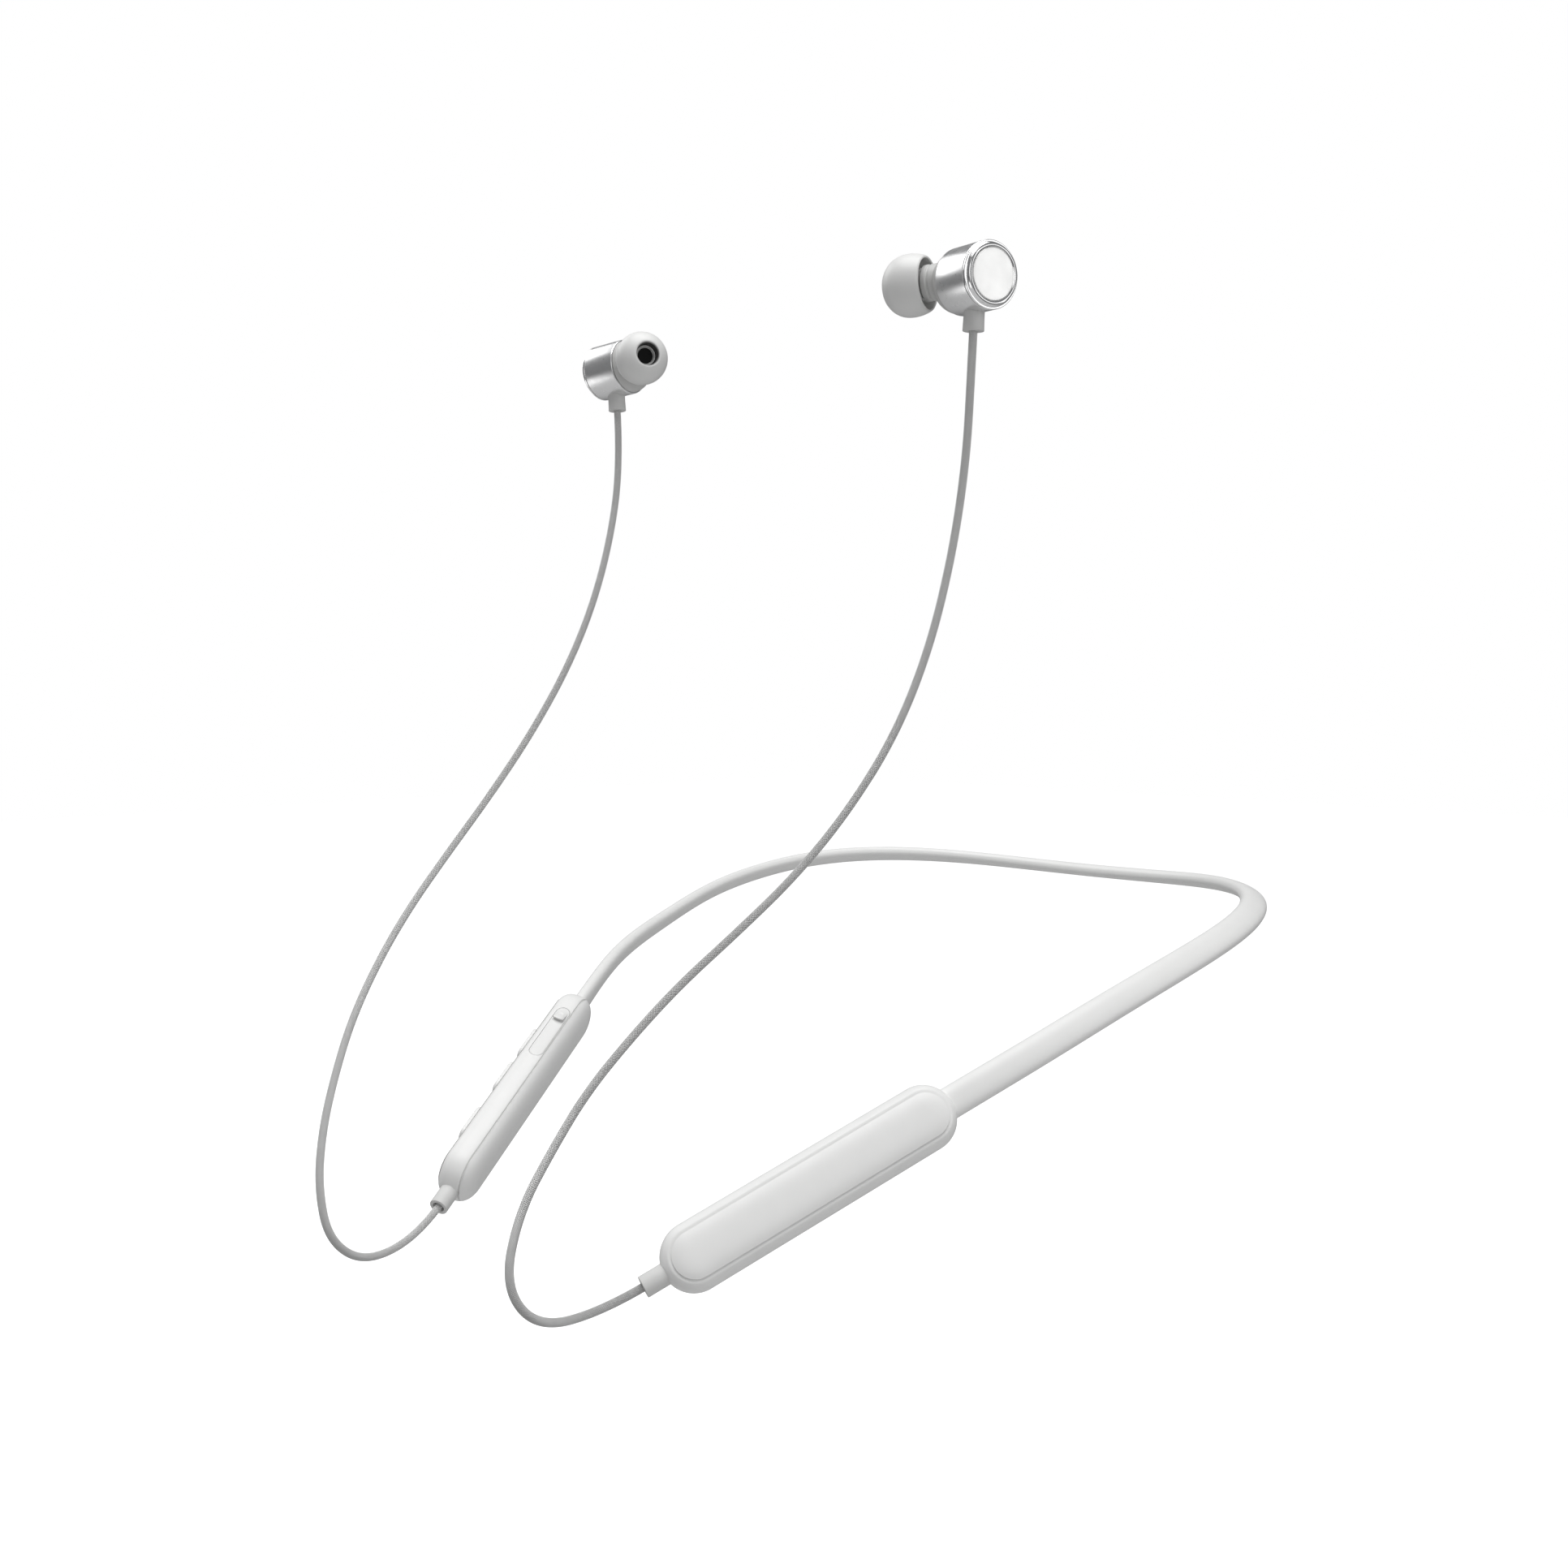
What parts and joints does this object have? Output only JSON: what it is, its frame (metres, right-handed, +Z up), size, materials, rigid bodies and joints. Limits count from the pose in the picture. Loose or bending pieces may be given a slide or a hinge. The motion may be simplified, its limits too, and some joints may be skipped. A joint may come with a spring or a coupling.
{
  "type": "neckband earphones",
  "caption": "Wireless neckband earphones: a flat silicone band with a pod on each end and corded in-ear earbuds with soft tips.",
  "frame": {"origin": "middle of the band's section at the nape, where the band rests on the neck", "axes": "+Z up as worn, -Y the way the wearer faces, +X the wearer's left, with the battery pod"},
  "size_m": [0.1521, 0.2161, 0.1949],
  "materials": {
    "white_plastic": "satin soft-touch",
    "band_silicone": "satin silicone",
    "spring_wire": "drawn wire",
    "cable_jacket": "matte",
    "cord_braid": "fine braided sleeve",
    "relief_rubber": "satin",
    "tip_silicone": "satin silicone",
    "housing_metal": "satin, turned",
    "ring_metal": "polished",
    "plate_plastic": "matte",
    "shell_plastic": "matte",
    "mesh_metal": "fine mesh",
    "cell_foil": "laminate pouch",
    "foam": "foam",
    "board": "solder mask",
    "steel_can": "tinned",
    "switch_metal": "stamped",
    "driver_plastic": "moulded",
    "magnet": "plated",
    "film": "clear film"
  },
  "bodies": {
    "band": {"band_sleeve": "band_silicone", "memory_wire": "spring_wire", "band_cable": "cable_jacket"},
    "left_arm": {"battery_cell": "cell_foil", "battery_foam_pad": "foam", "battery_pod_frame": "white_plastic", "battery_pod_inner_cover": "white_plastic", "battery_pod_outer_cover": "white_plastic", "battery_pod_relief": "relief_rubber", "left_cord": "cord_braid", "left_driver_diaphragm": "film", "left_driver_frame": "driver_plastic", "left_driver_magnet": "magnet", "left_front_shell": "shell_plastic", "left_housing": "housing_metal", "left_nozzle_mesh": "mesh_metal", "left_rear_plate": "plate_plastic", "left_rear_ring": "ring_metal", "left_relief": "relief_rubber", "protection_board": "board"},
    "right_arm": {"bluetooth_module": "steel_can", "charging_socket": "steel_can", "circuit_board": "board", "control_pod_frame": "white_plastic", "control_pod_inner_cover": "white_plastic", "control_pod_outer_cover": "white_plastic", "control_pod_relief": "relief_rubber", "microphone": "steel_can", "play_switch": "switch_metal", "right_cord": "cord_braid", "right_driver_diaphragm": "film", "right_driver_frame": "driver_plastic", "right_driver_magnet": "magnet", "right_front_shell": "shell_plastic", "right_housing": "housing_metal", "right_nozzle_mesh": "mesh_metal", "right_rear_plate": "plate_plastic", "right_rear_ring": "ring_metal", "right_relief": "relief_rubber", "volume_down_switch": "switch_metal", "volume_up_switch": "switch_metal"},
    "port_cover": {"port_cover": "band_silicone"},
    "left_ear_tip": {"left_ear_tip": "tip_silicone"},
    "right_ear_tip": {"right_ear_tip": "tip_silicone"},
    "volume_down_button": {"volume_down_button": "white_plastic"},
    "play_button": {"play_button": "white_plastic"},
    "volume_up_button": {"volume_up_button": "white_plastic"}
  },
  "joints": [
    {"name": "left_arm_flex", "type": "hinge", "parent": "band", "child": "left_arm", "pos_m": [0.07, -0.04, 0], "axis": [0, 0, 1], "range_deg": [-5, 20], "stiffness_Nm_per_rad": 0.8, "deforming": ["band_sleeve", "memory_wire", "band_cable"]},
    {"name": "right_arm_flex", "type": "hinge", "parent": "band", "child": "right_arm", "pos_m": [-0.07, -0.04, 0], "axis": [0, 0, -1], "range_deg": [-5, 20], "stiffness_Nm_per_rad": 0.8, "deforming": ["band_sleeve", "memory_wire", "band_cable"]},
    {"name": "volume_down_press", "type": "slide", "parent": "right_arm", "child": "volume_down_button", "axis": [0.8117, 0.5012, -0.2998], "range_m": [0, 0.00035], "stiffness_N_per_m": 1500},
    {"name": "play_press", "type": "slide", "parent": "right_arm", "child": "play_button", "axis": [0.8117, 0.5012, -0.2998], "range_m": [0, 0.00035], "stiffness_N_per_m": 1500},
    {"name": "volume_up_press", "type": "slide", "parent": "right_arm", "child": "volume_up_button", "axis": [0.8117, 0.5012, -0.2998], "range_m": [0, 0.00035], "stiffness_N_per_m": 1500},
    {"name": "port_cover_hinge", "type": "hinge", "parent": "right_arm", "child": "port_cover", "pos_m": [-0.04419, -0.15375, -0.03204], "axis": [0.8117, 0.5012, -0.2998], "range_deg": [0, 105]},
    {"name": "left_ear_tip_pull", "type": "slide", "parent": "left_arm", "child": "left_ear_tip", "axis": [-0.9592, -0.2827, -0.0096], "range_m": [0, 0.008]},
    {"name": "right_ear_tip_pull", "type": "slide", "parent": "right_arm", "child": "right_ear_tip", "axis": [0.9203, -0.3904, 0.0243], "range_m": [0, 0.008]}
  ]
}
